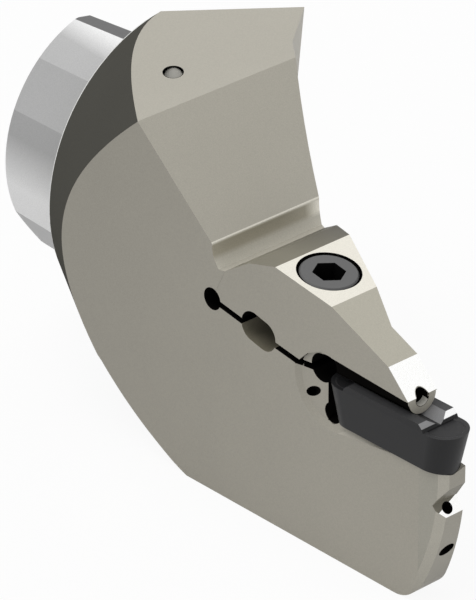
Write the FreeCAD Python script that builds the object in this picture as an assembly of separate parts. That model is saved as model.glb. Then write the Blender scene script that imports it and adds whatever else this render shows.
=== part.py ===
"""Grooving tool head with a short tapered shank, a flexing clamp jaw and a double-ended insert.

+X runs along the shank axis to the cutting end, -Y is the flat near side and +Z is up.
The origin is on the shank axis, in the contact face of the flange. Lengths are millimetres.
"""

import FreeCAD, Part
import math
import os

Vec = FreeCAD.Vector

# Shank and turned back of the head
flange_radius = 30.5
shank_root_radius = 25.6
shank_length = 19.4
shank_taper = 0.05
shank_end_chamfer = 0.6
shallow_flat_distance = 24.1
ridge_flat_distance = 21.7
far_flat_distance = 17.0
upper_near_flat_angle = 37.0
lower_near_flat_angle = -35.0
ridge_flat_angle = 100.0
far_flat_angle = 123.0
back_cone_half_angle = 28.5
draw_thread_radius = 7.0
draw_thread_depth = 26.6
draw_mouth_radius = 8.5
draw_mouth_depth = 3.6

# Heights of the body above and below the shank axis
top_height = 30.3
bottom_height = 33.5

# Plan of the body: the flat near side, the thin blade and the bowed far wall
near_side = 35.5
blade_thickness = 6.5
far_top_x = 16.3
far_top_y = 15.1
far_bend_x = 24.8
far_bend_y = 4.4
far_middle_x = 40.0
far_middle_y = -6.4
far_straight_x = 58.0
far_straight_y = -16.0
blade_start_x = 84.3
flank_back_lean = 0.30
flank_out_lean = 0.15
corner_relief_start_y = -7.5
corner_relief_overrun = 10.0

# Side outline behind the clamp jaw
wall_top_x = 29.7
wall_foot_x = 48.1
wall_foot_height = 14.3
gullet_side_x = 48.6
gullet_side_height = 11.6
gullet_floor_x = 49.7
gullet_floor_height = 10.1

# Top of the clamp jaw
ramp_foot_x = 51.25
ramp_foot_height = 10.4
ramp_top_x = 57.2
ramp_top_height = 14.25
seat_rear_x = 63.5
seat_rear_height = 16.0
seat_front_x = 77.0
seat_front_height = 14.0
finger_root_x = 90.3
finger_root_height = 8.3
finger_end_x = 94.9
finger_end_height = 3.7

# Heel relief under the flat near side
heel_top_x = 18.2
heel_top_drop = 19.0
heel_middle_x = 28.7
heel_middle_drop = 27.3
heel_bottom_x = 41.0
heel_run_down = 1.5

# Clamp slot with its two through holes
relief_hole_x = 48.0
relief_hole_height = 3.9
relief_hole_radius = 2.05
slot_width = 1.15
key_hole_x = 59.4
key_hole_height = 2.3
key_hole_length = 8.4
key_hole_width = 5.5
key_hole_tilt = 13.0
pocket_relief_x = 74.3
pocket_relief_height = 1.35
pocket_relief_radius = 2.6
jaw_undercut_rear_height = 4.5
jaw_undercut_front_height = 3.45
jaw_undercut_depth = 1.6
jaw_seam = 0.03

# Insert and its seat
insert_length = 28.9
insert_width = 8.0
insert_tip_x = 104.2
insert_land_height = 1.27
insert_body_depth = 7.0
insert_front_relief = 1.75
insert_side_relief = 0.35
insert_land_length = 16.6
insert_ramp_length = 0.8
insert_ramp_foot_height = 0.55
insert_wall_length = 0.25
insert_rake_rim = 0.7
insert_rake_drop = 0.15
insert_rake_slope = 2.0
groove_angle = 120.0
keel_depth = 0.9
rib_radius = 3.06
seat_clearance = 0.03
stop_clearance = 0.06
stop_hollow_radius = 8.0
pocket_wall_x = 75.8
seat_relief_x = 76.85
seat_relief_height = -6.15
seat_relief_radius = 1.9
seat_recess_x = 76.5
seat_recess_height = -1.0
seat_recess_radius = 8.3
seat_recess_depth = 0.55
seat_recess_slope_width = 1.2
seat_recess_reach = 12.0
seat_recess_end_x = 94.0

# Front of the support blade
support_front_x = 102.3
support_nose_start_x = 97.7
support_nose_angle = 14.0
far_nose_angle = 7.0
support_arc_radius = 50.0
support_arc_height = -9.0
support_chamfer = 1.2
notch_apex_x = 100.2
notch_apex_height = -13.6
notch_upper_height = -10.4
notch_lower_height = -16.5
support_toe_radius = 6.0

# Clamp screw, metric size six
screw_x = 69.4
screw_y = -28.9
screw_head_radius = 5.0
screw_head_height = 6.0
screw_head_chamfer = 0.25
screw_shank_radius = 3.0
screw_length = 20.0
screw_tip_chamfer = 0.6
screw_socket_width = 5.0
screw_socket_depth = 3.2
screw_sink = 0.05
screw_socket_turn = 2.0
counterbore_clearance = 0.5
screw_hole_clearance = 0.35
thread_clearance = 0.2
thread_depth_spare = 2.0

# Coolant drillings
top_drilling_x = 19.7
top_drilling_y = -18.6
top_drilling_radius = 1.75
top_drilling_depth = 24.0
plug_depth = 1.9
plug_length = 5.0
plug_chamfer = 0.2
plug_clearance = 0.02
finger_jet_radius = 1.4
finger_jet_height = 3.25
finger_jet_depth = 16.0
finger_jet_drop_angle = 8.0
notch_jet_x = 101.0
notch_jet_radius = 0.98
notch_jet_depth = 12.0
lower_jet_height = -23.4
lower_jet_radius = 0.97
lower_jet_depth = 9.0
side_drilling_x = 72.2
side_drilling_height = -3.9
side_drilling_radius = 0.75
side_drilling_depth = 3.0

# Reach of the cutting solids beyond the body
reach = 60.0
front_limit = 120.0

# Places that follow from the sizes above
near_y = -near_side
blade_far_y = near_y + blade_thickness
blade_middle_y = near_y + blade_thickness / 2.0
cone_run = 1.0 / math.tan(math.radians(back_cone_half_angle))
insert_rear_x = insert_tip_x - insert_length
insert_middle_x = insert_tip_x - insert_length / 2.0
insert_nose_radius = insert_width / 2.0
groove_slope = 1.0 / math.tan(math.radians(groove_angle / 2.0))
groove_half_width = insert_land_height / groove_slope
keel_half_width = insert_width / 2.0 - insert_side_relief
keel_slope = keel_depth / keel_half_width
rib_height = (rib_radius + seat_clearance) / math.sin(math.radians(groove_angle / 2.0))
seat_tilt = math.atan2(seat_rear_height - seat_front_height, seat_front_x - seat_rear_x)
shank_end_radius = shank_root_radius - shank_length * shank_taper


def face_of(edges):
    """Closed outline to face."""
    return Part.Face(Part.Wire(edges))


def polygon(points):
    """Closed straight-sided face through the points."""
    return Part.Face(Part.makePolygon(points + [points[0]]))


def line(a, b):
    """Straight edge."""
    return Part.LineSegment(a, b).toShape()


def arc(a, b, c):
    """Arc edge from a through b to c."""
    return Part.Arc(a, b, c).toShape()


def side_point(x, z, y=-reach):
    """Point of a side outline, which is extruded along Y."""
    return Vec(x, y, z)


def side_prism(points):
    """Solid through the whole width from a straight-sided side outline."""
    return polygon([side_point(x, z) for x, z in points]).extrude(Vec(0, 2 * reach, 0))


def plan_prism(points):
    """Solid through the whole height from a straight-sided plan outline."""
    return polygon([Vec(x, y, -reach) for x, y in points]).extrude(Vec(0, 0, 2 * reach))


def cross_hole(x, z, radius):
    """Round hole along Y through the whole width."""
    return Part.makeCylinder(radius, 2 * reach, Vec(x, -reach, z), Vec(0, 1, 0))


def slab_between(start, end, width):
    """Straight slot through the whole width, between two points of the side view."""
    dx = end[0] - start[0]
    dz = end[1] - start[1]
    length = math.hypot(dx, dz)
    half_x = -dz / length * width / 2.0
    half_z = dx / length * width / 2.0
    return side_prism([
        (start[0] + half_x, start[1] + half_z),
        (end[0] + half_x, end[1] + half_z),
        (end[0] - half_x, end[1] - half_z),
        (start[0] - half_x, start[1] - half_z),
    ])


def tapered_shank():
    """Short tapered shank with its flats."""
    profile = [
        Vec(0, 0, 0),
        Vec(0, 0, shank_root_radius),
        Vec(-shank_length + shank_end_chamfer, 0, shank_end_radius + shank_end_chamfer * shank_taper),
        Vec(-shank_length, 0, shank_end_radius - shank_end_chamfer),
        Vec(-shank_length, 0, 0),
    ]
    shank = polygon(profile).revolve(Vec(0, 0, 0), Vec(1, 0, 0), 360)
    taper_angle = math.degrees(math.atan(shank_taper))
    flats = [
        (shallow_flat_distance, upper_near_flat_angle),
        (shallow_flat_distance, lower_near_flat_angle),
        (ridge_flat_distance, ridge_flat_angle),
        (ridge_flat_distance, -ridge_flat_angle),
        (far_flat_distance, far_flat_angle),
        (far_flat_distance, -far_flat_angle),
    ]
    for distance, angle in flats:
        block = Part.makeBox(reach, 2 * reach, reach, Vec(0, -reach, 0))
        block.rotate(Vec(0, 0, 0), Vec(0, 1, 0), -taper_angle)
        block.translate(Vec(-shank_length, 0, distance))
        block.rotate(Vec(0, 0, 0), Vec(1, 0, 0), 90.0 - angle)
        shank = shank.cut(block)
    return shank


def turned_back():
    """Everything in front of the flange face and of the cone behind the head."""
    outer = flange_radius + 2 * reach / cone_run
    profile = [
        Vec(0, 0, 0),
        Vec(0, 0, flange_radius),
        Vec(2 * reach, 0, outer),
        Vec(2 * reach, 0, 0),
    ]
    return polygon(profile).revolve(Vec(0, 0, 0), Vec(1, 0, 0), 360)


def outer_side_outline():
    """Side outline of head and jaw together, from the flange to the finger."""
    foot = side_point(wall_foot_x, wall_foot_height)
    side = side_point(gullet_side_x, gullet_side_height)
    floor = side_point(gullet_floor_x, gullet_floor_height)
    rest = [
        (ramp_foot_x, ramp_foot_height),
        (ramp_top_x, ramp_top_height),
        (seat_rear_x, seat_rear_height),
        (seat_front_x, seat_front_height),
        (finger_root_x, finger_root_height),
        (finger_end_x, finger_end_height),
        (finger_end_x, 0.0),
        (support_front_x + 1.0, 0.0),
        (support_front_x + 1.0, -bottom_height),
        (0.0, -bottom_height),
        (0.0, top_height),
        (wall_top_x, top_height),
    ]
    points = [floor] + [side_point(x, z) for x, z in rest] + [foot]
    edges = [line(points[i], points[i + 1]) for i in range(len(points) - 1)]
    edges.append(arc(foot, side, floor))
    return face_of(edges).extrude(Vec(0, 2 * reach, 0))


def plan_outline():
    """Plan outline: flat near side, support nose, thin blade, bowed far wall and flange."""
    nose_run = support_front_x + 1.0 - support_nose_start_x
    nose_in = nose_run * math.tan(math.radians(support_nose_angle))
    far_nose_in = nose_run * math.tan(math.radians(far_nose_angle))
    front = support_front_x + 1.0
    bend = Vec(far_bend_x, far_bend_y, -reach)
    middle = Vec(far_middle_x, far_middle_y, -reach)
    straight = Vec(far_straight_x, far_straight_y, -reach)
    slope = (far_top_y - far_bend_y) / (far_bend_x - far_top_x)
    rear_y = flange_radius + cone_run
    rear_x = far_top_x - (rear_y - far_top_y) / slope
    points = [
        Vec(rear_x, rear_y, -reach),
        Vec(-1.0, rear_y, -reach),
        Vec(-1.0, near_y, -reach),
        Vec(support_nose_start_x, near_y, -reach),
        Vec(front, near_y + nose_in, -reach),
        Vec(front, blade_far_y - far_nose_in, -reach),
        Vec(support_nose_start_x, blade_far_y, -reach),
        Vec(blade_start_x, blade_far_y, -reach),
        straight,
    ]
    edges = [line(points[i], points[i + 1]) for i in range(len(points) - 1)]
    edges.append(arc(straight, middle, bend))
    edges.append(line(bend, points[0]))
    return face_of(edges).extrude(Vec(0, 0, 2 * reach))


def far_flank_relief():
    """Leaning cut of the far flank, behind the bend where the bowed wall ends."""
    corner = Vec(far_top_x, far_top_y, top_height)
    bend = Vec(far_bend_x, far_bend_y, top_height)
    lean = Vec(-flank_back_lean, flank_out_lean, -1.0)
    along = (corner - bend).normalize() * reach
    out = Vec(-along.y, along.x, 0) * -1.0
    start = bend - along - lean * 2.0
    end = corner + along - lean * 2.0
    leaning = polygon([start, end, end + out, start + out]).extrude(lean * (2 * reach))
    wall = Vec(far_bend_x - far_middle_x, far_bend_y - far_middle_y, 0).normalize() * (2 * reach)
    side = Vec(wall.y, -wall.x, 0)
    low = Vec(far_bend_x, far_bend_y, -reach)
    beyond = polygon([low, low + wall, low + wall + side, low + side])
    return leaning.common(beyond.extrude(Vec(0, 0, 2 * reach)))


def far_back_relief():
    """Slanting cut that takes the far rear corner off the top of the head."""
    top = top_height + 1.0
    spread = 24.0
    out = corner_relief_overrun
    upper = [
        Vec(-2.0, corner_relief_start_y, top),
        Vec(far_top_x, far_top_y, top),
        Vec(far_top_x + out, far_top_y + 2 * out, top),
        Vec(-2.0, far_top_y + 2 * out, top),
    ]
    return polygon(upper).extrude(Vec(-spread, spread, -reach))


def heel_relief():
    """Milled heel that runs out from the cone to the lower edge of the near side."""
    depth = 5.0
    front_y = near_y - depth
    rise = depth * heel_run_down
    start = side_point(heel_top_x, rise - heel_top_drop, front_y)
    middle = side_point(heel_middle_x, rise - heel_middle_drop, front_y)
    end = side_point(heel_bottom_x, rise - bottom_height, front_y)
    low = side_point(heel_bottom_x, -reach, front_y)
    back = side_point(heel_top_x - flange_radius, -reach, front_y)
    face = face_of([arc(start, middle, end), line(end, low), line(low, back), line(back, start)])
    return face.extrude(Vec(0, flange_radius, -flange_radius * heel_run_down))


def support_arc():
    """Large disc that rounds the front of the support blade in the side view."""
    centre_x = support_front_x - support_arc_radius
    disc = cross_hole(centre_x, support_arc_height, support_arc_radius)
    above = side_prism([
        (-reach, support_arc_height),
        (support_front_x, support_arc_height),
        (support_front_x, reach),
        (-reach, reach),
    ])
    behind = side_prism([(-reach, -reach), (centre_x, -reach), (centre_x, reach), (-reach, reach)])
    return disc.fuse(above).fuse(behind)


def key_hole():
    """Oblong hole across the slot, for the key that springs the jaw open."""
    straight = key_hole_length - key_hole_width
    radius = key_hole_width / 2.0
    tilt = math.radians(key_hole_tilt)
    dx = math.cos(tilt) * straight / 2.0
    dz = -math.sin(tilt) * straight / 2.0
    rear = (key_hole_x - dx, key_hole_height - dz)
    front = (key_hole_x + dx, key_hole_height + dz)
    hole = slab_between(rear, front, key_hole_width)
    hole = hole.fuse(cross_hole(rear[0], rear[1], radius))
    return hole.fuse(cross_hole(front[0], front[1], radius))


def pocket():
    """Insert pocket: the open space between the round rib of the jaw and the vee seat."""
    mid = blade_middle_y
    edge = -insert_body_depth - seat_clearance
    start_x = pocket_wall_x
    left = Vec(start_x, mid - rib_radius, rib_height)
    right = Vec(start_x, mid + rib_radius, rib_height)
    under = Vec(start_x, mid, rib_height - rib_radius)
    points = [
        right,
        Vec(start_x, reach, rib_height),
        Vec(start_x, reach, edge),
        Vec(start_x, mid + keel_half_width, edge),
        Vec(start_x, mid, edge - keel_depth),
        Vec(start_x, mid - keel_half_width, edge),
        Vec(start_x, -reach, edge),
        Vec(start_x, -reach, rib_height),
        left,
    ]
    edges = [line(points[i], points[i + 1]) for i in range(len(points) - 1)]
    edges.append(arc(left, under, right))
    return face_of(edges).extrude(Vec(front_limit - start_x, 0, 0))


def rear_stop():
    """Round hollow in the rear wall of the pocket, against which the idle end of the insert rests."""
    low = -insert_body_depth - keel_depth - seat_clearance
    centre = Vec(insert_rear_x - stop_clearance + stop_hollow_radius, blade_middle_y, low)
    hollow = Part.makeCylinder(stop_hollow_radius, pocket_relief_height - low, centre)
    behind = Part.makeBox(reach, 2 * reach, 2 * reach, Vec(pocket_wall_x + 0.2 - reach, -reach, -reach))
    return hollow.common(behind)


def jaw_undercut():
    """Shallow relief under the near edge of the jaw, running out towards the finger."""
    front_x = finger_end_x + 1.0
    wedge = side_prism([
        (pocket_relief_x, 0.0),
        (pocket_relief_x, pocket_relief_height + pocket_relief_radius),
        (pocket_relief_x + pocket_relief_radius * 0.8, jaw_undercut_rear_height),
        (front_x, jaw_undercut_front_height),
        (front_x, 0.0),
    ])
    shallow = plan_prism([
        (pocket_relief_x - 1.0, -reach),
        (pocket_relief_x - 1.0, near_y + jaw_undercut_depth),
        (front_x, near_y),
        (front_x, -reach),
    ])
    return wedge.common(shallow)


def clamp_gap():
    """Slot, holes and pocket that part the jaw from the head."""
    relief = (relief_hole_x, relief_hole_height)
    gap = cross_hole(relief[0], relief[1], relief_hole_radius)
    gap = gap.fuse(slab_between(relief, slot_bend_rear(), slot_width))
    gap = gap.fuse(slab_between(slot_bend_rear(), slot_bend_front(), slot_width))
    gap = gap.fuse(slab_between(slot_bend_front(), (pocket_relief_x, slot_bend_front()[1] + 0.5), slot_width))
    gap = gap.fuse(key_hole())
    gap = gap.fuse(cross_hole(pocket_relief_x, pocket_relief_height, pocket_relief_radius))
    gap = gap.fuse(cross_hole(seat_relief_x, seat_relief_height, seat_relief_radius))
    return gap.fuse(rear_stop()).fuse(jaw_undercut()).fuse(pocket())


def slot_bend_rear():
    """Middle of the slot in the key hole."""
    return key_hole_x, key_hole_height - 0.35


def slot_bend_front():
    """Middle of the slot where it turns up into the pocket relief."""
    return pocket_relief_x - 4.5, key_hole_height - 1.9


def web_seam():
    """Fine seam through the flexing web, from the gullet down to the relief hole."""
    across = ramp_foot_x - relief_hole_x
    rise = ramp_foot_height - relief_hole_height
    top = (ramp_foot_x + across * 0.2, ramp_foot_height + rise * 0.2)
    bottom = (relief_hole_x, relief_hole_height)
    return slab_between(top, bottom, jaw_seam)


def screw_frame():
    """Centre of the counterbore mouth and the upward direction of the screw axis."""
    along = (screw_x - seat_rear_x) * math.tan(seat_tilt)
    centre = Vec(screw_x, screw_y, seat_rear_height - along)
    return centre, Vec(math.sin(seat_tilt), 0, math.cos(seat_tilt))


def along_screw(centre, up, distance):
    """Point on the screw axis, at a distance above the counterbore mouth."""
    return centre + up * distance


def hexagon_prism(width, base, direction, depth, turn=0.0):
    """Hexagonal socket prism, with its width across flats, sunk from base along direction."""
    radius = width / math.sqrt(3.0)
    points = []
    for index in range(6):
        angle = math.radians(60.0 * index + turn)
        points.append(Vec(radius * math.cos(angle), radius * math.sin(angle), 0))
    prism = polygon(points).extrude(Vec(0, 0, depth))
    prism.Placement = FreeCAD.Placement(base, FreeCAD.Rotation(Vec(0, 0, 1), direction))
    return prism


def screw_holes():
    """Counterbore, clearance hole and tapped hole of the clamp screw."""
    centre, up = screw_frame()
    down = up * -1.0
    head_floor = screw_sink + screw_head_height
    bore_radius = screw_head_radius + counterbore_clearance
    counterbore = Part.makeCylinder(bore_radius, head_floor + 5.0, along_screw(centre, up, 5.0), down)
    through_radius = screw_shank_radius + screw_hole_clearance
    slot_depth = seat_rear_height
    through = Part.makeCylinder(through_radius, slot_depth - head_floor + 0.5,
                                along_screw(centre, up, -head_floor), down)
    thread_radius = screw_shank_radius + thread_clearance
    total = head_floor + screw_length + thread_depth_spare
    thread = Part.makeCylinder(thread_radius, total - head_floor, along_screw(centre, up, -head_floor), down)
    cone_depth = thread_radius * 0.6
    tip = Part.makeCone(thread_radius, 0.0, cone_depth, along_screw(centre, up, -total), down)
    return counterbore.fuse(through).fuse(thread).fuse(tip)


def clamp_screw():
    """Socket cap screw with its hexagon socket."""
    centre, up = screw_frame()
    down = up * -1.0
    top = along_screw(centre, up, -screw_sink)
    head = Part.makeCylinder(screw_head_radius, screw_head_height - screw_head_chamfer,
                             top + down * screw_head_chamfer, down)
    crown = Part.makeCone(screw_head_radius - screw_head_chamfer, screw_head_radius,
                          screw_head_chamfer, top, down)
    under_head = top + down * screw_head_height
    shank = Part.makeCylinder(screw_shank_radius, screw_length - screw_tip_chamfer, under_head, down)
    tip = Part.makeCone(screw_shank_radius, screw_shank_radius - screw_tip_chamfer, screw_tip_chamfer,
                        under_head + down * (screw_length - screw_tip_chamfer), down)
    screw = head.fuse(crown).fuse(shank).fuse(tip)
    socket = hexagon_prism(screw_socket_width, top, down, screw_socket_depth, screw_socket_turn)
    dish = Part.makeCone(screw_socket_width / 2.0, 0.0, 1.2, top + down * screw_socket_depth, down)
    return screw.cut(socket).cut(dish).removeSplitter()


def jet(point, direction, radius, depth):
    """Round drilling from outside the surface at a point, down against its outflow direction."""
    direction = Vec(direction)
    direction.normalize()
    return Part.makeCylinder(radius, depth + 6.0, point + direction * 6.0, direction * -1.0)


def finger_jet():
    """Coolant jet that leaves the end of the finger."""
    drop = math.radians(finger_jet_drop_angle)
    point = Vec(finger_end_x, blade_middle_y, finger_jet_height)
    return jet(point, Vec(math.cos(drop), 0, -math.sin(drop)), finger_jet_radius, finger_jet_depth)


def support_jets():
    """Coolant jets in the front of the support blade."""
    run = support_front_x - notch_apex_x
    fall = notch_apex_height - notch_lower_height
    height = notch_apex_height - fall * (notch_jet_x - notch_apex_x) / run
    in_notch = jet(Vec(notch_jet_x, blade_middle_y, height), Vec(fall, 0, run),
                   notch_jet_radius, notch_jet_depth)
    lower = jet(Vec(support_front_x - 2.1, blade_middle_y + 0.8, lower_jet_height), Vec(0.59, -0.76, -0.275),
                lower_jet_radius, lower_jet_depth)
    return in_notch.fuse(lower)


def side_drilling():
    """Small slanting drilling beside the rear of the seat."""
    point = Vec(side_drilling_x, near_y + seat_recess_depth, side_drilling_height)
    return jet(point, Vec(1.0, -0.55, 0.6), side_drilling_radius, side_drilling_depth)


def top_drilling_axis():
    """Mouth of the oblique top drilling and its direction, down towards the middle of the flange."""
    mouth = Vec(top_drilling_x, top_drilling_y, top_height)
    return mouth, (mouth * -1.0).normalize()


def top_drilling():
    """Oblique drilling from the top face, closed at its mouth by a plug."""
    mouth, inward = top_drilling_axis()
    outside = 4.0
    end = mouth + inward * top_drilling_depth
    bore = Part.makeCylinder(top_drilling_radius, top_drilling_depth + outside, mouth - inward * outside, inward)
    point = Part.makeCone(top_drilling_radius, 0.0, top_drilling_radius * 0.6, end, inward)
    return bore.fuse(point)


def coolant_plug():
    """Plain pressed plug of the top drilling."""
    mouth, inward = top_drilling_axis()
    radius = top_drilling_radius - plug_clearance
    top = mouth + inward * plug_depth
    crown = Part.makeCone(radius - plug_chamfer, radius, plug_chamfer, top, inward)
    length = plug_length - plug_chamfer
    return crown.fuse(Part.makeCylinder(radius, length, top + inward * plug_chamfer, inward)).removeSplitter()


def draw_thread():
    """Tapped draw hole in the end of the shank, with its wide mouth."""
    end = Vec(-shank_length, 0, 0)
    hole = Part.makeCylinder(draw_thread_radius, draw_thread_depth, end, Vec(1, 0, 0))
    point = Part.makeCone(draw_thread_radius, 0.0, draw_thread_radius * 0.6,
                          end + Vec(draw_thread_depth, 0, 0), Vec(1, 0, 0))
    mouth = Part.makeCylinder(draw_mouth_radius, draw_mouth_depth, end, Vec(1, 0, 0))
    return hole.fuse(point).fuse(mouth)


def notch():
    """Vee notch across the front of the support blade."""
    out = support_front_x + 4.0
    grow_up = (notch_upper_height - notch_apex_height) / (support_front_x - notch_apex_x)
    grow_down = (notch_apex_height - notch_lower_height) / (support_front_x - notch_apex_x)
    run = out - notch_apex_x
    return side_prism([
        (notch_apex_x, notch_apex_height),
        (out, notch_apex_height + grow_up * run),
        (out, notch_apex_height - grow_down * run),
    ])


def recess_band(y, slope):
    """Outline of the recess under the insert, in the plane of a depth."""
    low = seat_recess_height - seat_recess_radius + slope
    return Part.makePolygon([
        Vec(seat_recess_x, y, low),
        Vec(seat_recess_end_x, y, -insert_body_depth),
        Vec(seat_recess_end_x, y, seat_recess_height),
        Vec(seat_recess_x, y, seat_recess_height),
        Vec(seat_recess_x, y, low),
    ])


def seat_recess():
    """Shallow recess round the rear of the seat and under the insert, with a sloping outer wall."""
    width = seat_recess_slope_width
    outside = 1.0
    growth = width * outside / seat_recess_depth
    floor_y = near_y + seat_recess_depth
    centre = Vec(seat_recess_x, floor_y, seat_recess_height)
    disc = Part.makeCone(seat_recess_radius - width, seat_recess_radius + growth,
                         seat_recess_depth + outside, centre, Vec(0, -1, 0))
    band = Part.makeLoft([recess_band(floor_y, width), recess_band(near_y - outside, -growth)], True, True)
    step = disc.fuse(band)
    rear_x = seat_recess_x - seat_recess_reach
    lower = side_prism([
        (pocket_relief_x - 6.0, rib_height - 3.5),
        (pocket_relief_x - 3.0, rib_height - 0.5),
        (pocket_relief_x, rib_height + 1.0),
        (pocket_relief_x + 2.5, rib_height + 1.0),
        (seat_relief_x + 3.0, 0.0),
        (front_limit, 0.0),
        (front_limit, -reach),
        (rear_x, -reach),
        (rear_x, rib_height - 3.5),
    ])
    return step.common(lower)


def whole_head():
    """Head and jaw in one, before the clamp gap is cut."""
    head = outer_side_outline().common(plan_outline())
    head = head.common(turned_back())
    head = head.cut(far_back_relief())
    head = head.cut(far_flank_relief())
    head = head.cut(heel_relief())
    head = head.common(support_arc())
    head = chamfer_front(head)
    head = head.cut(toe_relief())
    head = head.fuse(tapered_shank()).removeSplitter()
    return head


def chamfer_front(head):
    """Bevels where the rounded front of the blade meets the two slanting cheeks."""
    picked = []
    for edge in head.Edges:
        box = edge.BoundBox
        tall = box.ZLength > 15.0 and box.ZMax < 1.0
        if tall and box.XMin > support_nose_start_x - 4.0 and box.XMax < support_front_x + 0.1:
            inside = abs(edge.CenterOfMass.y - blade_middle_y) < blade_thickness / 2.0 - 0.4
            if inside:
                picked.append(edge)
    if not picked:
        raise ValueError("the front of the support blade has no cheek edges")
    return head.makeChamfer(support_chamfer, picked)


def toe_relief():
    """Waste outside the rounded corner between the front of the blade and the underside."""
    centre_x = support_front_x - support_arc_radius
    inner = support_arc_radius - support_toe_radius
    toe_height = -bottom_height + support_toe_radius
    toe_x = centre_x + math.sqrt(inner ** 2 - (toe_height - support_arc_height) ** 2)
    front_angle = math.atan2(toe_height - support_arc_height, toe_x - centre_x)
    middle_angle = (front_angle - math.pi / 2.0) / 2.0

    def toe_point(angle, radius):
        return side_point(toe_x + radius * math.cos(angle), toe_height + radius * math.sin(angle))

    low = toe_point(-math.pi / 2.0, support_toe_radius)
    middle = toe_point(middle_angle, support_toe_radius)
    front = toe_point(front_angle, support_toe_radius)
    far_front = toe_point(front_angle, support_toe_radius * 3.0)
    far_low = toe_point(-math.pi / 2.0, support_toe_radius * 3.0)
    edges = [arc(low, middle, front), line(front, far_front), line(far_front, far_low), line(far_low, low)]
    return face_of(edges).extrude(Vec(0, 2 * reach, 0))


def insert_outline(length, nose, z):
    """Full-radius plan outline of the insert at a height."""
    mid = blade_middle_y
    half = length / 2.0 - nose
    left = insert_middle_x - half
    right = insert_middle_x + half
    corners = [Vec(left, mid - nose, z), Vec(right, mid - nose, z),
               Vec(right, mid + nose, z), Vec(left, mid + nose, z)]
    return Part.Wire([
        line(corners[0], corners[1]),
        arc(corners[1], Vec(right + nose, mid, z), corners[2]),
        line(corners[2], corners[3]),
        arc(corners[3], Vec(left - nose, mid, z), corners[0]),
    ])


def grooving_insert():
    """Double-ended full-radius insert with raised lands, a clamping groove and a vee keel."""
    mid = blade_middle_y
    full_depth = insert_body_depth + keel_depth
    taper = full_depth / insert_body_depth
    low_radius = insert_nose_radius - insert_side_relief * taper
    low_length = insert_length - 2 * insert_front_relief * taper
    body = Part.makeLoft([insert_outline(low_length, low_radius, -full_depth),
                          insert_outline(insert_length, insert_nose_radius, 0.0)], True)
    keel_top = -full_depth + keel_slope * insert_width
    start_x = insert_rear_x - 1.0
    length = insert_length + 2.0
    keel = polygon([
        Vec(start_x, mid, -full_depth),
        Vec(start_x, mid + insert_width, keel_top),
        Vec(start_x, mid + insert_width, 1.0),
        Vec(start_x, mid - insert_width, 1.0),
        Vec(start_x, mid - insert_width, keel_top),
    ]).extrude(Vec(length, 0, 0))
    body = body.common(keel)
    land_half = insert_land_length / 2.0
    ramp_end = land_half + insert_ramp_length
    wall_end = ramp_end + insert_wall_length
    near = mid - insert_nose_radius
    lands = polygon([
        Vec(insert_middle_x - wall_end, near, 0.0),
        Vec(insert_middle_x - ramp_end, near, insert_ramp_foot_height),
        Vec(insert_middle_x - land_half, near, insert_land_height),
        Vec(insert_middle_x + land_half, near, insert_land_height),
        Vec(insert_middle_x + ramp_end, near, insert_ramp_foot_height),
        Vec(insert_middle_x + wall_end, near, 0.0),
    ]).extrude(Vec(0, insert_width, 0))
    plan = Part.Face(insert_outline(insert_length, insert_nose_radius, 0.0))
    lands = lands.common(plan.extrude(Vec(0, 0, insert_land_height)))
    groove = polygon([
        Vec(start_x, mid, 0.0),
        Vec(start_x, mid + 2 * groove_half_width, 2 * insert_land_height),
        Vec(start_x, mid - 2 * groove_half_width, 2 * insert_land_height),
    ]).extrude(Vec(length, 0, 0))
    insert = body.fuse(lands.cut(groove))
    return insert.cut(rake_bowl(1)).cut(rake_bowl(-1))


def rake_bowl(end):
    """Ground chip bowl behind the full-radius edge at one end of the insert."""
    rim = insert_nose_radius - insert_rake_rim
    floor = rim - insert_rake_drop * insert_rake_slope
    centre_x = insert_middle_x + end * (insert_length / 2.0 - insert_nose_radius)
    above = rim + insert_rake_drop * insert_rake_slope
    base = Vec(centre_x, blade_middle_y, -insert_rake_drop)
    bowl = Part.makeCone(floor, above, 2 * insert_rake_drop, base)
    wall_run = insert_ramp_length + insert_wall_length
    ramp_x = insert_middle_x + end * (insert_land_length / 2.0 + wall_run)
    front = Part.makeBox(insert_width, 2 * insert_width, 1.0,
                         Vec(min(ramp_x, ramp_x + end * insert_width), blade_middle_y - insert_width, -0.5))
    return bowl.common(front)


def split_jaw(head):
    """Head and jaw as two solids, sorted so that the head is the larger one."""
    parts = head.cut(clamp_gap()).cut(web_seam()).Solids
    parts = sorted(parts, key=lambda solid: solid.Volume, reverse=True)
    return parts[0], parts[1]


def build():
    """All pieces by node name."""
    whole = whole_head()
    whole = whole.cut(screw_holes())
    whole = whole.cut(finger_jet())
    whole = whole.cut(seat_recess())
    whole = whole.cut(notch())
    whole = whole.cut(support_jets())
    whole = whole.cut(side_drilling())
    whole = whole.cut(top_drilling())
    whole = whole.cut(draw_thread())
    head, jaw = split_jaw(whole)
    return {
        "head_body": head,
        "clamp_jaw": jaw,
        "clamp_screw": clamp_screw(),
        "grooving_insert": grooving_insert(),
        "coolant_plug": coolant_plug(),
    }


os.makedirs("parts", exist_ok=True)
for name, shape in build().items():
    shape.exportStep("parts/" + name + ".step")
    box = shape.BoundBox
    print(name, shape.isValid(), len(shape.Solids), round(shape.Volume, 1),
          [round(v, 1) for v in (box.XMin, box.YMin, box.ZMin, box.XMax, box.YMax, box.ZMax)])
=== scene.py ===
import math

import bpy
from mathutils import Matrix, Vector


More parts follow.
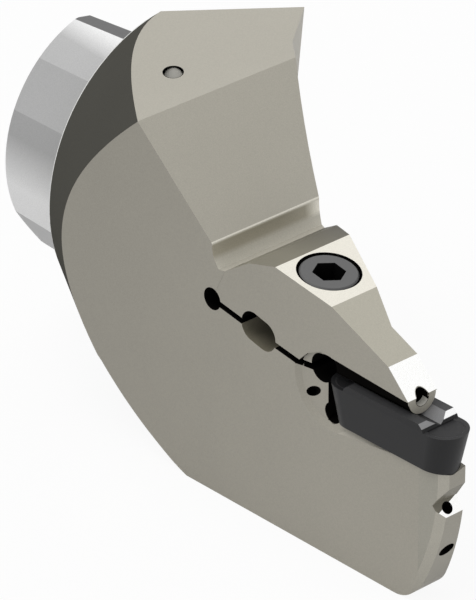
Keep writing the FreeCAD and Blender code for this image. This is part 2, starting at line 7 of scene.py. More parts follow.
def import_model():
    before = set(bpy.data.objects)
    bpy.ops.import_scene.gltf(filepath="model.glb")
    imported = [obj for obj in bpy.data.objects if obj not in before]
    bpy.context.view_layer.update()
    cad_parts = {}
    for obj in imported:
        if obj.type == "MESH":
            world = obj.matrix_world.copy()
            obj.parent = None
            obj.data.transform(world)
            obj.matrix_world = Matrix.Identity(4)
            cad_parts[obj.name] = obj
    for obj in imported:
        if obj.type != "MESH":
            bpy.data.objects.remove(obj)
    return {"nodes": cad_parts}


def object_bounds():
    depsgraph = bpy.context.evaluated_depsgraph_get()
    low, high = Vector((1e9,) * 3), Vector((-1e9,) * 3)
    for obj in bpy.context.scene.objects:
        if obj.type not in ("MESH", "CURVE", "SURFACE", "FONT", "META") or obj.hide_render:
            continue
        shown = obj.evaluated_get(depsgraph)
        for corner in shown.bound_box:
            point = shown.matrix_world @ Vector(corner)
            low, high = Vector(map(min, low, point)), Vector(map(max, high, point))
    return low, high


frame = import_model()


def box_numbers(box):
    return [[float(v) for v in corner] for corner in box]


cad_box = box_numbers(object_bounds())
MM = 0.001

# Camera of the photograph: angles in degrees, lengths in millimetres, the lens in pixels
CAMERA_AZIMUTH = 47.72
CAMERA_ELEVATION = 28.69
CAMERA_ROLL = -0.3
CAMERA_DISTANCE = 850.0
CAMERA_SIDE = -10.47
CAMERA_RISE = 25.27
CAMERA_REACH = 50000.0
FOCAL_PIXELS = 4764.0
PICTURE_HEIGHT = 600.0
SENSOR = 36.0

# Light and surroundings: the key's spread in degrees, the floor's reach in millimetres
WORLD_LIGHT = 0.52
KEY_LIGHT = 1.35
KEY_DIRECTION = (-0.30, -0.20, 0.93)
KEY_SPREAD = 50.0
FLOOR_GREY = 0.86
FLOOR_ROUGHNESS = 0.9
FLOOR_GLOW_SHARE = 0.92
FLOOR_REACH = 3000.0

# Shank, flange and cone: places in millimetres, angles in degrees
SHANK_TAPER = 0.05
NEAR_FLAT_ANGLES = (37.0, -35.0)
FAR_FLAT_ANGLES = (100.0, 123.0, -100.0, -123.0)
FLAT_MATCH = 0.9985
SHANK_TOP_LIGHT = (21.8, 23.8)
SHANK_MIDDLE_LIGHT = (6.5, -3.0)
SHANK_TOP_START = 12.0
CONE_HALF_ANGLE = 28.5
CONE_NORMAL_SPREAD = 0.035
CONE_END = 40.0
RIM_WIDTH = 0.35

# Near side and the front of the support blade
NEAR_FACE = (0.0, -1.0, 0.0)
NEAR_MATCH = 0.88
NEAR_FADE_PLACES = (20.0, 80.0)
NEAR_SHADE_FADE = (0.95, 1.10)
BLADE_FRONT_START = 95.0
CHEEK_TURN = (-0.985, -NEAR_MATCH)
BEVEL_TURN = (-NEAR_MATCH, -0.4)
BEVEL_FORWARD = 0.3
FRONT_TURN = (-0.3, 0.3)
FRONT_FORWARD = 0.6
FRONT_FADE_HEIGHTS = (-20.0, -33.0)
FRONT_FADE = 0.86
NOTCH_BACK = 98.0
NOTCH_MATCH = 0.99
NOTCH_UPPER_FACE = (0.836, 0.0, -0.549)
NOTCH_LOWER_FACE = (0.810, 0.0, 0.587)
NOTCH_GLEAM_ACROSS = (0.979, 0.202, 0.0)
NOTCH_GLEAM_START = 92.1

# Gullet behind the jaw, and the seam through the thin web under it
GULLET_ALONG = (47.5, 50.2)
GULLET_HEIGHTS = (9.8, 14.5)
GULLET_TURN = (-0.6, 0.6)
GULLET_FORWARD = 0.2
GULLET_FAR_FADE = (-14.5, -11.5)
GULLET_TROUGH_FADE = (12.2, 11.4)
GULLET_RIM_FADE = (13.9, 14.2)
SEAM_ALONG = (46.0, 52.0)
SEAM_HEIGHTS = (3.5, 9.9)
SEAM_TURN = (-0.3, 0.3)

# Faces of the jaw
SLOPE_FACE = (0.394, 0.0, 0.919)
RAMP_FACE = (-0.268, 0.0, 0.963)
STEEP_RAMP_FACE = (-0.543, 0.0, 0.840)
RAMP_MATCH = 0.98
RAMP_FADE = (-30.0, -13.0)
CREAM_FACE = (0.146, 0.0, 0.989)
CREAM_MATCH = 0.997
FINGER_FACE = (0.707, 0.0, 0.707)
FINGER_TOP_LIMIT = 8.5
UNDERSIDE_FALL = -0.05
UNDERSIDE_TURN = (-0.97, 0.97)
FLANK_ALONG = (70.0, 94.7)
FLANK_TOP = 4.7
FLANK_FORWARD = 0.3
RECESS_FLOOR = -34.9
FINGER_FLANK = -35.45
FINGER_FLANK_START = 80.0

# Hollows: the clamp slot and its holes in the side view, and the drillings, each with a point, a
# direction and a radius. The drilling in the top points at the origin.
HOLLOW_MARGIN = 0.09
WALL_TURN = 0.985
SLOT_PATH = ((48.0, 3.9), (59.4, 1.95), (69.8, 0.4), (74.3, 0.9))
SLOT_WIDTH = 1.15
KEY_HOLE = ((57.99, 2.63), (60.81, 1.97), 2.75)
KEY_FLOOR_RISE = 0.1
CROSS_HOLES = ((48.0, 3.9, 2.05), (74.3, 1.35, 2.6), (76.85, -6.15, 1.9))
STOP_ALONG = (74.0, 79.2)
STOP_HEIGHTS = (-8.6, 1.8)
STOP_DEPTHS = (RECESS_FLOOR, -29.3)
SCREW_PLACE = (69.4, -28.9, 15.13)
SCREW_UP = (0.146, 0.0, 0.989)
COUNTERBORE_RADIUS = 5.5
COUNTERBORE_WALL_RISE = 0.8
NOTCH_JET = ((101.0, -32.25, -14.7), (2.9, 0.0, 2.1), 0.98)
LOWER_JET = ((100.2, -31.45, -23.4), (0.59, -0.76, -0.275), 0.97)
SIDE_DRILLING = ((72.2, -34.95, -3.9), (1.0, -0.55, 0.6), 0.75)
TOP_DRILLING = ((19.7, -18.6, 30.3), (19.7, -18.6, 30.3), 1.75)
TOP_DRILLING_END = 15.0
FINGER_JET = ((94.9, -32.25, 3.25), (0.990, 0.0, -0.139), 1.4)
FINGER_GLEAM_START = 93.7
FINGER_GLEAM_RISE = 0.45

# Insert: the chip former stands above its cutting edges, which lie at height 0
RAISED_START = 0.06
CHIP_RAMP_SLOPE = (0.45, 0.8)
CHIP_RAMP_RISE = 0.5
CHIP_FLANK_RISE = (0.8, 0.93)
CHIP_FLANK_TURN = -0.3
LAND_RISE = 0.98
BLADE_MIDDLE = -32.25

# Screw: everything below the crown by this much is in shade
SOCKET_SHADE_DEPTH = 0.5
SCREW_SIDE_RISE = 0.5

# Grain of the blasted and coated surfaces
NOISE_MIDDLE = (0.3, 0.7)
GRAIN_SCALE = 5.2
GRAIN_DEPTH = 0.012 * MM
CLOUD_SCALE = 0.06
CLOUD_SHARE = 0.015
GRAIN_TONE = (0.94, 1.06)
SCREW_GRAIN_TONE = (0.95, 1.05)
STEEL_ROUGHNESS = (0.42, 0.52)
COATED_ROUGHNESS = (0.4, 0.5)
POLISH_SMOOTHING = 0.17
DULL_ROUGHENING = 0.4
POLISHED_METALLIC = 0.97
GROUND_METALLIC = 0.85
STEEL_SHINE = 0.3


def srgb(red, green, blue):
    """Linear colour of an 8-bit display colour."""
    def linear(v):
        v = v / 255.0
        return v / 12.92 if v <= 0.04045 else ((v + 0.055) / 1.055) ** 2.4
    return (linear(red), linear(green), linear(blue), 1.0)


STEEL = srgb(181, 177, 165)
# Painted shade: the near side's steel, darker because less light falls on it
NEAR_SHADE_STEEL = srgb(160, 156, 145)
# Painted light and shade: the blade's cheek, bevel and front steel, each lighter or darker for the
# light on that face
CHEEK_SHADED_STEEL = srgb(168, 165, 154)
BEVEL_LIT_STEEL = srgb(188, 184, 172)
FRONT_SHADED_STEEL = srgb(168, 164, 153)
# Painted shade: the turned cone faces back, away from the light, and is painted dark
CONE_SHADE_STEEL = srgb(80, 79, 74)
# Painted highlight: a light line along the flange rim
RIM_HIGHLIGHT_STEEL = srgb(225, 225, 222)
# Painted reflections on the turned shank: its highlights and shade bands
TURNED_HIGHLIGHT = srgb(250, 250, 250)
TURNED_TOP_SHADE = srgb(190, 190, 190)
TURNED_MIDDLE_HIGHLIGHT = srgb(236, 236, 236)
TURNED_MIDDLE_SHADE = srgb(166, 166, 166)
SHANK_FLAT = srgb(178, 178, 178)
# Painted shade: the far flats of the shank are painted dark
SHANK_FAR_FLAT_SHADE = srgb(90, 90, 90)
# Painted highlight: the ground top of the jaw painted near white
CREAM_HIGHLIGHT = srgb(246, 242, 230)
# Painted highlight: white on the finger face and on part of the lower notch face
HIGHLIGHT_WHITE_STEEL = srgb(255, 255, 253)
BORE_GLEAM = srgb(190, 188, 180)
# Painted light: the slope face a little lighter than the plain steel
SLOPE_LIT_STEEL = srgb(188, 184, 170)
# Painted shade: the ramp faces back from the light and is painted brown, darker towards the far side
RAMP_SHADE = srgb(127, 123, 109)
RAMP_SHADE_FAR = srgb(70, 67, 59)
# Gullet: plain steel on the wall; painted light on the trough, a painted highlight on the rim and a
# painted reflection at the far end
GULLET_WALL_STEEL = srgb(182, 176, 158)
GULLET_TROUGH_PAINTED_LIGHT = srgb(206, 202, 189)
GULLET_RIM_HIGHLIGHT = srgb(230, 226, 213)
GULLET_FAR_REFLECTION = srgb(255, 251, 237)
# Painted shade: the notch faces, which face away from the light
NOTCH_SHADE = srgb(122, 118, 105)
# Painted shade: the floor of the key hole, dim brown inside the hollow
KEY_FLOOR_SHADE = srgb(125, 120, 104)
# Painted shade: near black in slots, holes, drillings and on faces turned down
HOLLOW_SHADE_BLACK = srgb(16, 15, 14)
CARBIDE = srgb(40, 40, 41)
# Painted light on the insert: highlights on the chip former's ramps, lighter flanks and lands
CARBIDE_RAMP_HIGHLIGHT = srgb(150, 150, 151)
CARBIDE_FAR_RAMP_HIGHLIGHT = srgb(250, 250, 250)
CARBIDE_FLANK_LIT = srgb(128, 128, 129)
CARBIDE_LAND_LIT = srgb(62, 62, 63)
BLACK_OXIDE = srgb(98, 98, 98)
# Painted shade: the screw's socket and sides
SOCKET_SHADE_BLACK = srgb(20, 20, 20)
PLUG_STEEL = srgb(180, 178, 170)


class Graph:
    """Small helper that adds nodes to one material and joins them. Places are in millimetres."""

    def __init__(self, name):
        self.material = bpy.data.materials.new(name)
        self.material.use_nodes = True
        self.tree = self.material.node_tree
        self.shader = self.tree.nodes["Principled BSDF"]
        coordinates = self.tree.nodes.new("ShaderNodeTexCoord")
        self.place = self.vector("SCALE", coordinates.outputs["Object"], scale=1.0 / MM)
        self.normal = coordinates.outputs["Normal"]
        self.x, self.y, self.z = self.parts(self.place)
        self.normal_x, self.normal_y, self.normal_z = self.parts(self.normal)

    def node(self, kind, **settings):
        """A new node with its settings."""
        made = self.tree.nodes.new(kind)
        for key, value in settings.items():
            setattr(made, key, value)
        return made

    def set(self, socket, value):
        """Links a socket or sets its plain value."""
        if isinstance(value, bpy.types.NodeSocket):
            self.tree.links.new(value, socket)
        else:
            socket.default_value = value

    def parts(self, vector):
        """The three coordinates of a vector."""
        split = self.node("ShaderNodeSeparateXYZ")
        self.set(split.inputs[0], vector)
        return split.outputs["X"], split.outputs["Y"], split.outputs["Z"]

    def math(self, operation, first, second=0.0, third=None):
        """The result of a sum on numbers."""
        made = self.node("ShaderNodeMath", operation=operation)
        self.set(made.inputs[0], first)
        self.set(made.inputs[1], second)
        if third is not None:
            self.set(made.inputs[2], third)
        return made.outputs[0]

    def vector(self, operation, first, second=None, scale=None):
        """The result of a sum on vectors."""
        made = self.node("ShaderNodeVectorMath", operation=operation)
        self.set(made.inputs[0], first)
        if second is not None:
            self.set(made.inputs[1], second)
        if scale is not None:
            self.set(made.inputs["Scale"], scale)
        return made.outputs["Value"] if operation in ("DOT_PRODUCT", "LENGTH") else made.outputs[0]

    def facing(self, direction, match=0.995):
        """1 where the surface faces the direction."""
        return self.above(self.vector("DOT_PRODUCT", self.normal, direction), match)

    def above(self, value, limit):
        """1 where the value is above the limit."""
        return self.math("GREATER_THAN", value, limit)

    def below(self, value, limit):
        """1 where the value is below the limit."""
        return self.math("LESS_THAN", value, limit)

    def within(self, value, limits):
        """1 where the value lies between two limits."""
        low, high = limits
        return self.all(self.above(value, low), self.below(value, high))

    def all(self, *masks):
        """1 where every mask is 1."""
        result = masks[0]
        for mask in masks[1:]:
            result = self.math("MULTIPLY", result, mask)
        return result

    def any(self, *masks):
        """1 where at least one mask is 1."""
        result = masks[0]
        for mask in masks[1:]:
            result = self.math("MAXIMUM", result, mask)
        return result

    def outside(self, mask):
        """1 where the mask is 0."""
        return self.math("SUBTRACT", 1.0, mask)

    def size(self, value):
        """The value without its sign."""
        return self.math("ABSOLUTE", value)

    def tube(self, point, direction, radius):
        """1 inside a round drilling without end."""
        offset = self.vector("SUBTRACT", self.place, point)
        across = self.vector("CROSS_PRODUCT", offset, tuple(Vector(direction).normalized()))
        return self.below(self.vector("LENGTH", across), radius + HOLLOW_MARGIN)

    def slot(self, start, end, radius):
        """1 inside a straight slot with round ends, seen from the side."""
        first = Vector((start[0], 0.0, start[1]))
        along = Vector((end[0], 0.0, end[1])) - first
        flat = self.vector("MULTIPLY", self.place, (1.0, 0.0, 1.0))
        offset = self.vector("SUBTRACT", flat, tuple(first))
        share = self.vector("DOT_PRODUCT", offset, tuple(along / along.length_squared))
        share = self.math("MINIMUM", self.math("MAXIMUM", share, 0.0), 1.0)
        nearest = self.vector("SCALE", tuple(along), scale=share)
        distance = self.vector("LENGTH", self.vector("SUBTRACT", offset, nearest))
        return self.below(distance, radius + HOLLOW_MARGIN)

    def mix(self, factor, first, second):
        """The first colour where the factor is 0 and the second where it is 1."""
        made = self.node("ShaderNodeMix", data_type="RGBA")
        self.set(made.inputs["Factor"], factor)
        self.set(made.inputs[6], first)
        self.set(made.inputs[7], second)
        return made.outputs[2]

    def mix_number(self, factor, first, second):
        """The first number where the factor is 0 and the second where it is 1."""
        return self.math("MULTIPLY_ADD", factor, second - first, first)

    def shade(self, colour, factor):
        """The colour made lighter or darker."""
        plain = colour[:3] if isinstance(colour, tuple) else colour
        return self.vector("SCALE", plain, scale=factor)

    def noise(self, scale, detail=2.0):
        """A soft random pattern in the part's own space."""
        made = self.node("ShaderNodeTexNoise")
        self.set(made.inputs["Vector"], self.place)
        made.inputs["Scale"].default_value = scale
        made.inputs["Detail"].default_value = detail
        return made.outputs["Fac"]

    def ramp(self, value, limits, results=(0.0, 1.0)):
        """Maps a value between two limits to the results, held at the ends."""
        made = self.node("ShaderNodeMapRange")
        self.set(made.inputs["Value"], value)
        made.inputs["From Min"].default_value, made.inputs["From Max"].default_value = limits
        made.inputs["To Min"].default_value, made.inputs["To Max"].default_value = results
        return made.outputs["Result"]

    def grain(self, noise, results):
        """Maps the middle values of a noise to the results."""
        return self.ramp(noise, NOISE_MIDDLE, results)

    def bump(self, height, strength):
        """Raises the surface a little by a pattern."""
        made = self.node("ShaderNodeBump")
        made.inputs["Strength"].default_value = strength
        made.inputs["Distance"].default_value = GRAIN_DEPTH
        self.set(made.inputs["Height"], height)
        self.set(self.shader.inputs["Normal"], made.outputs["Normal"])

    def finish(self, colour, roughness, metallic, shine):
        """Joins the results to the shader and gives the material."""
        self.set(self.shader.inputs["Base Color"], colour)
        self.set(self.shader.inputs["Roughness"], roughness)
        self.set(self.shader.inputs["Metallic"], metallic)
        self.set(self.shader.inputs["Specular IOR Level"], shine)
        return self.material


def blasted(g, colour, polished, dull):
    """Fine blasted nickel finish: grain in colour, gloss and height, with a faint cloudiness."""
    speck = g.noise(GRAIN_SCALE, detail=1.0)
    cloud = g.noise(CLOUD_SCALE, detail=3.0)
    g.bump(speck, strength=0.35)
    tone = g.math("ADD", g.grain(speck, GRAIN_TONE), g.grain(cloud, (-CLOUD_SHARE, CLOUD_SHARE)))
    rough = g.grain(speck, STEEL_ROUGHNESS)
    rough = g.math("SUBTRACT", rough, g.math("MULTIPLY", polished, POLISH_SMOOTHING))
    rough = g.math("ADD", rough, g.math("MULTIPLY", dull, DULL_ROUGHENING))
    metallic = g.math("MULTIPLY", polished, POLISHED_METALLIC)
    shine = g.math("MULTIPLY", g.outside(dull), STEEL_SHINE)
    return g.finish(g.shade(colour, tone), rough, metallic, shine)


def clamp_hollows(g):
    """1 on the walls of the clamp slot and of the round holes along it."""
    masks = [g.slot(start, end, SLOT_WIDTH / 2.0) for start, end in zip(SLOT_PATH, SLOT_PATH[1:])]
    masks.append(g.slot(*KEY_HOLE))
    masks.extend(g.tube((x, 0.0, z), (0.0, 1.0, 0.0), radius) for x, z, radius in CROSS_HOLES)
    return g.any(*masks)


def is_wall(g):
    """1 on faces that don't look straight out of the near or far side."""
    return g.below(g.size(g.normal_y), WALL_TURN)


def side_colours(g):
    """Plain steel, with painted shade on the near side and on the seam faces of the web, the painted
    shade a little lighter towards the blade.
    """
    in_web = g.all(g.within(g.x, SEAM_ALONG), g.within(g.z, SEAM_HEIGHTS))
    seam = g.all(in_web, g.within(g.normal_y, SEAM_TURN))
    near = g.any(g.facing(NEAR_FACE, NEAR_MATCH), seam)
    return g.mix(near, STEEL, g.shade(NEAR_SHADE_STEEL, g.ramp(g.x, NEAR_FADE_PLACES, NEAR_SHADE_FADE)))


def facing_flats(g, angles):
    """1 on the shank flats that face the angles, measured from the near side upwards."""
    masks = []
    for angle in angles:
        turn = math.radians(angle)
        direction = Vector((-SHANK_TAPER, -math.cos(turn), math.sin(turn))).normalized()
        masks.append(g.facing(tuple(direction), FLAT_MATCH))
    return g.any(*masks)


def shank_colours(g):
    """Turned shank painted with reflections, painted highlights and painted shade running round it, and
    its plainer flats, the far ones painted dark as shade.
    """
    top = g.mix(g.ramp(g.z, SHANK_TOP_LIGHT), TURNED_TOP_SHADE, TURNED_HIGHLIGHT)
    middle = g.mix(g.ramp(g.z, SHANK_MIDDLE_LIGHT), TURNED_MIDDLE_SHADE, TURNED_MIDDLE_HIGHLIGHT)
    colour = g.mix(g.above(g.z, SHANK_TOP_START), middle, top)
    colour = g.mix(facing_flats(g, NEAR_FLAT_ANGLES), colour, SHANK_FLAT)
    # Painted shade: the far flats are painted dark
    return g.mix(facing_flats(g, FAR_FLAT_ANGLES), colour, SHANK_FAR_FLAT_SHADE)


def blade_front(g, colour):
    """Adds the cheek, the bevel and the front face of the support blade, painted as lit and shaded
    copies of the steel (painted shade on the cheek and the front, a painted highlight on the bevel),
    darker at the toe.
    """
    front = g.above(g.x, BLADE_FRONT_START)
    fade = g.ramp(g.z, FRONT_FADE_HEIGHTS, (1.0, FRONT_FADE))
    cheek = g.all(front, g.within(g.normal_y, CHEEK_TURN))
    bevel = g.all(front, g.within(g.normal_y, BEVEL_TURN), g.above(g.normal_x, BEVEL_FORWARD))
    face = g.all(front, g.within(g.normal_y, FRONT_TURN), g.above(g.normal_x, FRONT_FORWARD))
    colour = g.mix(cheek, colour, g.shade(CHEEK_SHADED_STEEL, fade))
    colour = g.mix(bevel, colour, g.shade(BEVEL_LIT_STEEL, fade))
    return g.mix(face, colour, g.shade(FRONT_SHADED_STEEL, fade))


def gullet_colours(g, colour):
    """Adds the gullet: a steel steep wall that its own shade turns brown, painted light on the lighter
    trough, a painted highlight on the rim and a painted reflection at the far end.
    """
    gullet = g.all(g.within(g.x, GULLET_ALONG), g.within(g.z, GULLET_HEIGHTS),
                   g.within(g.normal_y, GULLET_TURN), g.above(g.normal_x, GULLET_FORWARD))
    wall = g.mix(g.ramp(g.y, GULLET_FAR_FADE), GULLET_WALL_STEEL, GULLET_FAR_REFLECTION)
    wall = g.mix(g.ramp(g.z, GULLET_TROUGH_FADE), wall, GULLET_TROUGH_PAINTED_LIGHT)
    wall = g.mix(g.ramp(g.z, GULLET_RIM_FADE), wall, GULLET_RIM_HIGHLIGHT)
    return g.mix(gullet, colour, wall)


def head_material():
    """Body: blasted head, turned cone painted dark as shade, shank painted with reflections, gullet
    painted with light and shade, and hollows painted black as shade.
    """
    g = Graph("head_steel")
    ahead = g.above(g.x, 0.0)
    lean = -math.sin(math.radians(CONE_HALF_ANGLE))
    leaning = g.within(g.normal_x, (lean - CONE_NORMAL_SPREAD, lean + CONE_NORMAL_SPREAD))
    cone = g.all(leaning, ahead, g.below(g.x, CONE_END))
    rim = g.all(cone, g.below(g.x, RIM_WIDTH))
    # Painted shade: the cone is painted dark
    colour = g.mix(cone, side_colours(g), CONE_SHADE_STEEL)
    # Painted highlight: a light line along the flange rim
    colour = g.mix(rim, colour, RIM_HIGHLIGHT_STEEL)
    colour = blade_front(g, colour)

    in_notch = g.above(g.x, NOTCH_BACK)
    lower = g.all(g.facing(NOTCH_LOWER_FACE, NOTCH_MATCH), in_notch)
    upper = g.all(g.facing(NOTCH_UPPER_FACE, NOTCH_MATCH), in_notch)
    across = g.vector("DOT_PRODUCT", g.place, NOTCH_GLEAM_ACROSS)
    gleam = g.all(lower, g.above(across, NOTCH_GLEAM_START))
    # Painted shade on the notch faces
    colour = g.mix(g.any(lower, upper), colour, NOTCH_SHADE)
    # Painted highlight: a white gleam on the lower notch face
    colour = g.mix(gleam, colour, HIGHLIGHT_WHITE_STEEL)
    colour = gullet_colours(g, colour)

    behind_stop = g.all(g.within(g.x, STOP_ALONG), g.within(g.z, STOP_HEIGHTS),
                        g.within(g.y, STOP_DEPTHS))
    top_drilling = g.all(g.tube(*TOP_DRILLING), g.above(g.z, TOP_DRILLING_END))
    drillings = g.any(g.tube(*NOTCH_JET), g.tube(*LOWER_JET), g.tube(*SIDE_DRILLING), top_drilling)
    key_floor = g.all(g.slot(*KEY_HOLE), g.above(g.normal_z, KEY_FLOOR_RISE))
    hollow = g.any(g.all(clamp_hollows(g), is_wall(g)), behind_stop, drillings)
    hollow = g.all(hollow, ahead, g.outside(key_floor))
    # Painted shade: the hollows painted black
    colour = g.mix(hollow, colour, HOLLOW_SHADE_BLACK)
    # Painted shade on the key hole floor
    colour = g.mix(key_floor, colour, KEY_FLOOR_SHADE)
    colour = g.mix(g.below(g.x, 0.0), colour, shank_colours(g))
    dull = g.any(hollow, g.all(cone, g.above(g.x, RIM_WIDTH)))
    return blasted(g, colour, polished=g.all(gleam, g.outside(hollow)), dull=dull)


def jaw_material():
    """Jaw: blasted, with a painted highlight on the ground top and on the finger, painted shade on the
    ramp, and hollows painted black as shade.
    """
    g = Graph("jaw_steel")
    finger = g.all(g.facing(FINGER_FACE), g.below(g.z, FINGER_TOP_LIMIT))
    ramp = g.any(g.facing(RAMP_FACE, RAMP_MATCH), g.facing(STEEP_RAMP_FACE, RAMP_MATCH))
    # Painted shade on the ramp, darker towards the far side
    brown = g.mix(g.ramp(g.y, RAMP_FADE), RAMP_SHADE, RAMP_SHADE_FAR)
    # Painted light: the slope face a little lighter
    colour = g.mix(g.facing(SLOPE_FACE), side_colours(g), SLOPE_LIT_STEEL)
    colour = g.mix(ramp, colour, brown)
    # Painted highlight on the ground top
    colour = g.mix(g.facing(CREAM_FACE, CREAM_MATCH), colour, CREAM_HIGHLIGHT)
    # Painted highlight: the finger face painted white
    colour = g.mix(finger, colour, HIGHLIGHT_WHITE_STEEL)

    under = g.all(g.below(g.normal_z, UNDERSIDE_FALL), g.within(g.normal_y, UNDERSIDE_TURN))
    flank = g.all(g.within(g.x, FLANK_ALONG), g.below(g.z, FLANK_TOP),
                  g.below(g.normal_x, FLANK_FORWARD))
    flank_depth = g.mix_number(g.above(g.x, FINGER_FLANK_START), RECESS_FLOOR, FINGER_FLANK)
    inner = g.all(flank, g.above(g.y, flank_depth))
    counterbore = g.all(g.tube(SCREW_PLACE, SCREW_UP, COUNTERBORE_RADIUS),
                        g.below(g.normal_z, COUNTERBORE_WALL_RISE))
    jet = g.tube(*FINGER_JET)
    hollow = g.any(g.all(g.any(clamp_hollows(g), jet), is_wall(g)), under, inner, counterbore)
    gleam = g.all(jet, g.above(g.x, FINGER_GLEAM_START), g.above(g.normal_z, FINGER_GLEAM_RISE))
    # Painted shade: hollows, the underside, the recess flank and the counterbore wall painted black
    colour = g.mix(hollow, colour, HOLLOW_SHADE_BLACK)
    colour = g.mix(gleam, colour, BORE_GLEAM)
    return blasted(g, colour, polished=finger, dull=hollow)


def carbide_material():
    """Insert: dark coated carbide, with painted light on the chip former: painted highlights on its
    ramps, and lighter flanks and lands.
    """
    g = Graph("coated_carbide")
    raised = g.above(g.z, RAISED_START)
    ramp = g.all(raised, g.within(g.size(g.normal_x), CHIP_RAMP_SLOPE),
                 g.above(g.normal_z, CHIP_RAMP_RISE))
    far_ramp = g.all(ramp, g.above(g.y, BLADE_MIDDLE))
    flank = g.all(raised, g.within(g.normal_z, CHIP_FLANK_RISE), g.below(g.normal_y, CHIP_FLANK_TURN))
    land = g.all(raised, g.above(g.normal_z, LAND_RISE))
    # Painted light: the chip former's lands, ramps and flanks, lighter where light falls on them
    colour = g.mix(land, CARBIDE, CARBIDE_LAND_LIT)
    colour = g.mix(ramp, colour, CARBIDE_RAMP_HIGHLIGHT)
    colour = g.mix(far_ramp, colour, CARBIDE_FAR_RAMP_HIGHLIGHT)
    colour = g.mix(flank, colour, CARBIDE_FLANK_LIT)
    speck = g.noise(GRAIN_SCALE)
    g.bump(speck, strength=0.25)
    colour = g.shade(colour, g.grain(speck, GRAIN_TONE))
    metallic = g.math("MULTIPLY", far_ramp, GROUND_METALLIC)
    return g.finish(colour, g.grain(speck, COATED_ROUGHNESS), metallic, shine=0.18)


def screw_material():
    """Black oxide screw, with painted shade down in the socket and on its sides."""
    g = Graph("screw_oxide")
    height = g.vector("DOT_PRODUCT", g.place, SCREW_UP)
    crown = Vector(SCREW_PLACE).dot(Vector(SCREW_UP))
    inside = g.any(g.below(height, crown - SOCKET_SHADE_DEPTH), g.below(g.normal_z, SCREW_SIDE_RISE))
    speck = g.noise(GRAIN_SCALE)
    g.bump(speck, strength=0.2)
    # Painted shade in the socket and on the sides
    colour = g.shade(g.mix(inside, BLACK_OXIDE, SOCKET_SHADE_BLACK), g.grain(speck, SCREW_GRAIN_TONE))
    rough = g.math("ADD", g.grain(speck, COATED_ROUGHNESS), g.math("MULTIPLY", inside, DULL_ROUGHENING))
    shine = g.math("MULTIPLY", g.outside(inside), 0.35)
    return g.finish(colour, rough, metallic=0.2, shine=shine)


def plug_material():
    """Plain bright steel plug."""
    g = Graph("plug_steel")
    speck = g.noise(GRAIN_SCALE)
    g.bump(speck, strength=0.2)
    colour = g.shade(PLUG_STEEL, g.grain(speck, GRAIN_TONE))
    return g.finish(colour, g.grain(speck, COATED_ROUGHNESS), metallic=0.1, shine=0.4)


def dress(node, material):
    """Gives a CAD node its finish."""
    piece = frame["nodes"][node]
    piece.data.materials.clear()
    piece.data.materials.append(material)


def seen_white(tree):
    """1 for the rays that show the surroundings: camera, glossy and transmission rays."""
    path = tree.nodes.new("ShaderNodeLightPath")
    result = path.outputs["Is Camera Ray"]
    for kind in ("Is Glossy Ray", "Is Transmission Ray"):
        either = tree.nodes.new("ShaderNodeMath")
        either.operation = "MAXIMUM"
        tree.links.new(result, either.inputs[0])
        tree.links.new(path.outputs[kind], either.inputs[1])
        result = either.outputs[0]
    return result


def floor_material():
    """White floor that still takes a little of the shadow."""
    material = bpy.data.materials.new("floor_white")
    material.use_nodes = True
    tree = material.node_tree
    shader = tree.nodes["Principled BSDF"]
    shader.inputs["Base Color"].default_value = (FLOOR_GREY, FLOOR_GREY, FLOOR_GREY, 1.0)
    shader.inputs["Roughness"].default_value = FLOOR_ROUGHNESS
    glow = tree.nodes.new("ShaderNodeEmission")
    glow.inputs["Strength"].default_value = 1.0
    share = tree.nodes.new("ShaderNodeMath")
    share.operation = "MULTIPLY"
    share.inputs[1].default_value = FLOOR_GLOW_SHARE
    blend = tree.nodes.new("ShaderNodeMixShader")
    tree.links.new(seen_white(tree), share.inputs[0])
    tree.links.new(share.outputs[0], blend.inputs["Fac"])
    tree.links.new(shader.outputs[0], blend.inputs[1])
    tree.links.new(glow.outputs[0], blend.inputs[2])
    tree.links.new(blend.outputs[0], tree.nodes["Material Output"].inputs["Surface"])
    return material


def floor():
    """Plain pale floor under the part."""
    low = min(corner[2] for corner in cad_box)
    reach = FLOOR_REACH * MM
    corners = [(-reach, -reach, low), (reach, -reach, low), (reach, reach, low), (-reach, reach, low)]
    mesh = bpy.data.meshes.new("floor")
    mesh.from_pydata(corners, [], [(0, 1, 2, 3)])
    mesh.materials.append(floor_material())
    made = bpy.data.objects.new("floor", mesh)
    bpy.context.scene.collection.objects.link(made)


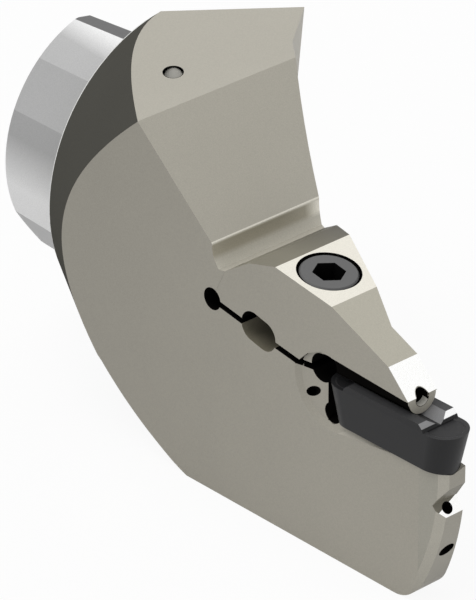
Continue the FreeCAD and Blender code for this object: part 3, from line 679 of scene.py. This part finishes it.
def world():
    """Soft even surroundings, white where the camera and reflections see them."""
    made = bpy.data.worlds.new("studio")
    made.use_nodes = True
    bpy.context.scene.world = made
    tree = made.node_tree
    background = tree.nodes["Background"]
    background.inputs["Color"].default_value = (1.0, 1.0, 1.0, 1.0)
    strength = tree.nodes.new("ShaderNodeMapRange")
    strength.inputs["To Min"].default_value = WORLD_LIGHT
    strength.inputs["To Max"].default_value = 1.0
    tree.links.new(seen_white(tree), strength.inputs["Value"])
    tree.links.new(strength.outputs["Result"], background.inputs["Strength"])


def key_light():
    """Wide soft key from above, a little behind and left of the part."""
    data = bpy.data.lights.new("key", "SUN")
    data.energy = KEY_LIGHT
    data.angle = math.radians(KEY_SPREAD)
    made = bpy.data.objects.new("key", data)
    made.rotation_euler = Vector(KEY_DIRECTION).to_track_quat("Z", "Y").to_euler()
    made.location = Vector(KEY_DIRECTION)
    bpy.context.scene.collection.objects.link(made)


def camera():
    """Camera at the photograph's place."""
    azimuth = math.radians(CAMERA_AZIMUTH)
    elevation = math.radians(CAMERA_ELEVATION)
    roll = math.radians(CAMERA_ROLL)
    back = Vector((math.sin(azimuth) * math.cos(elevation),
                   -math.cos(azimuth) * math.cos(elevation), math.sin(elevation)))
    level = Vector((math.cos(azimuth), math.sin(azimuth), 0.0))
    upright = back.cross(level)
    right = level * math.cos(roll) + upright * math.sin(roll)
    up = upright * math.cos(roll) - level * math.sin(roll)
    data = bpy.data.cameras.new("camera")
    data.lens = FOCAL_PIXELS * SENSOR / PICTURE_HEIGHT
    data.sensor_width = SENSOR
    data.clip_end = CAMERA_REACH * MM
    made = bpy.data.objects.new("camera", data)
    bpy.context.scene.collection.objects.link(made)
    place = back * CAMERA_DISTANCE - right * CAMERA_SIDE - up * CAMERA_RISE
    turn = Matrix((right, up, back)).transposed().to_4x4()
    made.matrix_world = Matrix.Translation(place * MM) @ turn
    bpy.context.scene.camera = made


dress("head_body", head_material())
dress("clamp_jaw", jaw_material())
dress("grooving_insert", carbide_material())
dress("clamp_screw", screw_material())
dress("coolant_plug", plug_material())
floor()
world()
key_light()
camera()
bpy.context.scene.view_settings.view_transform = "Standard"
